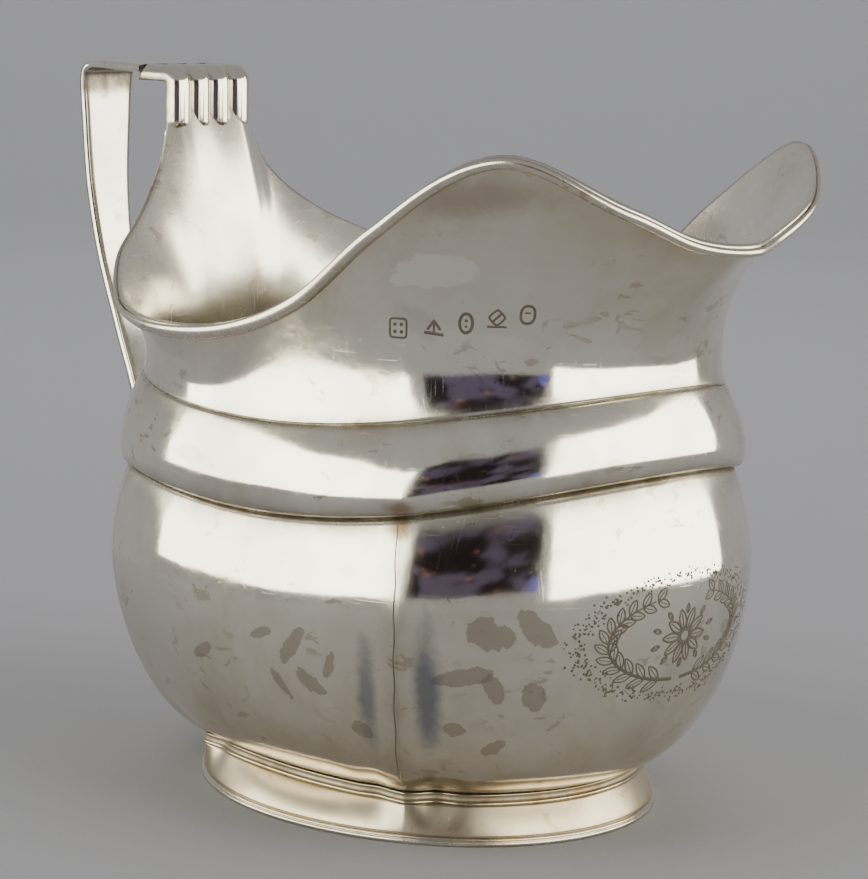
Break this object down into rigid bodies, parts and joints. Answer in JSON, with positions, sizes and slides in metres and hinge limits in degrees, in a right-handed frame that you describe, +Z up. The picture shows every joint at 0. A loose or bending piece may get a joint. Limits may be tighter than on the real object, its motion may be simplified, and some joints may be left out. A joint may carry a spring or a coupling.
{
  "type": "cream jug",
  "caption": "Oblong lobed silver cream jug with a shoulder band, wavy rim and pouring lip, reeded angular strap handle and stepped oval foot.",
  "frame": {"origin": "on the table, under the middle of the overall length; the foot centre is 9.4 mm ahead of it", "axes": "+X from the handle toward the pouring lip, +Y across the jug, +Z up"},
  "size_m": [0.1408, 0.0822, 0.1043],
  "materials": {
    "body_silver": "polished silver with light tarnish and fine scratches",
    "band_silver": "polished silver, browned in the creases",
    "neck_silver": "polished silver, warm tarnish under the rim",
    "wire_silver": "rubbed silver wire",
    "foot_silver": "polished silver, brown in the step",
    "handle_silver": "polished silver strap",
    "underside_silver": "dull silver, file marks"
  },
  "bodies": {
    "root": {"lower_body": "body_silver", "shoulder_band": "band_silver", "neck": "neck_silver", "rim_wire": "wire_silver", "base_plate": "underside_silver", "foot_flange": "foot_silver", "foot_collar": "foot_silver", "foot_wire": "wire_silver", "handle_strap": "handle_silver", "handle_reeds": "handle_silver"}
  },
  "joints": []
}
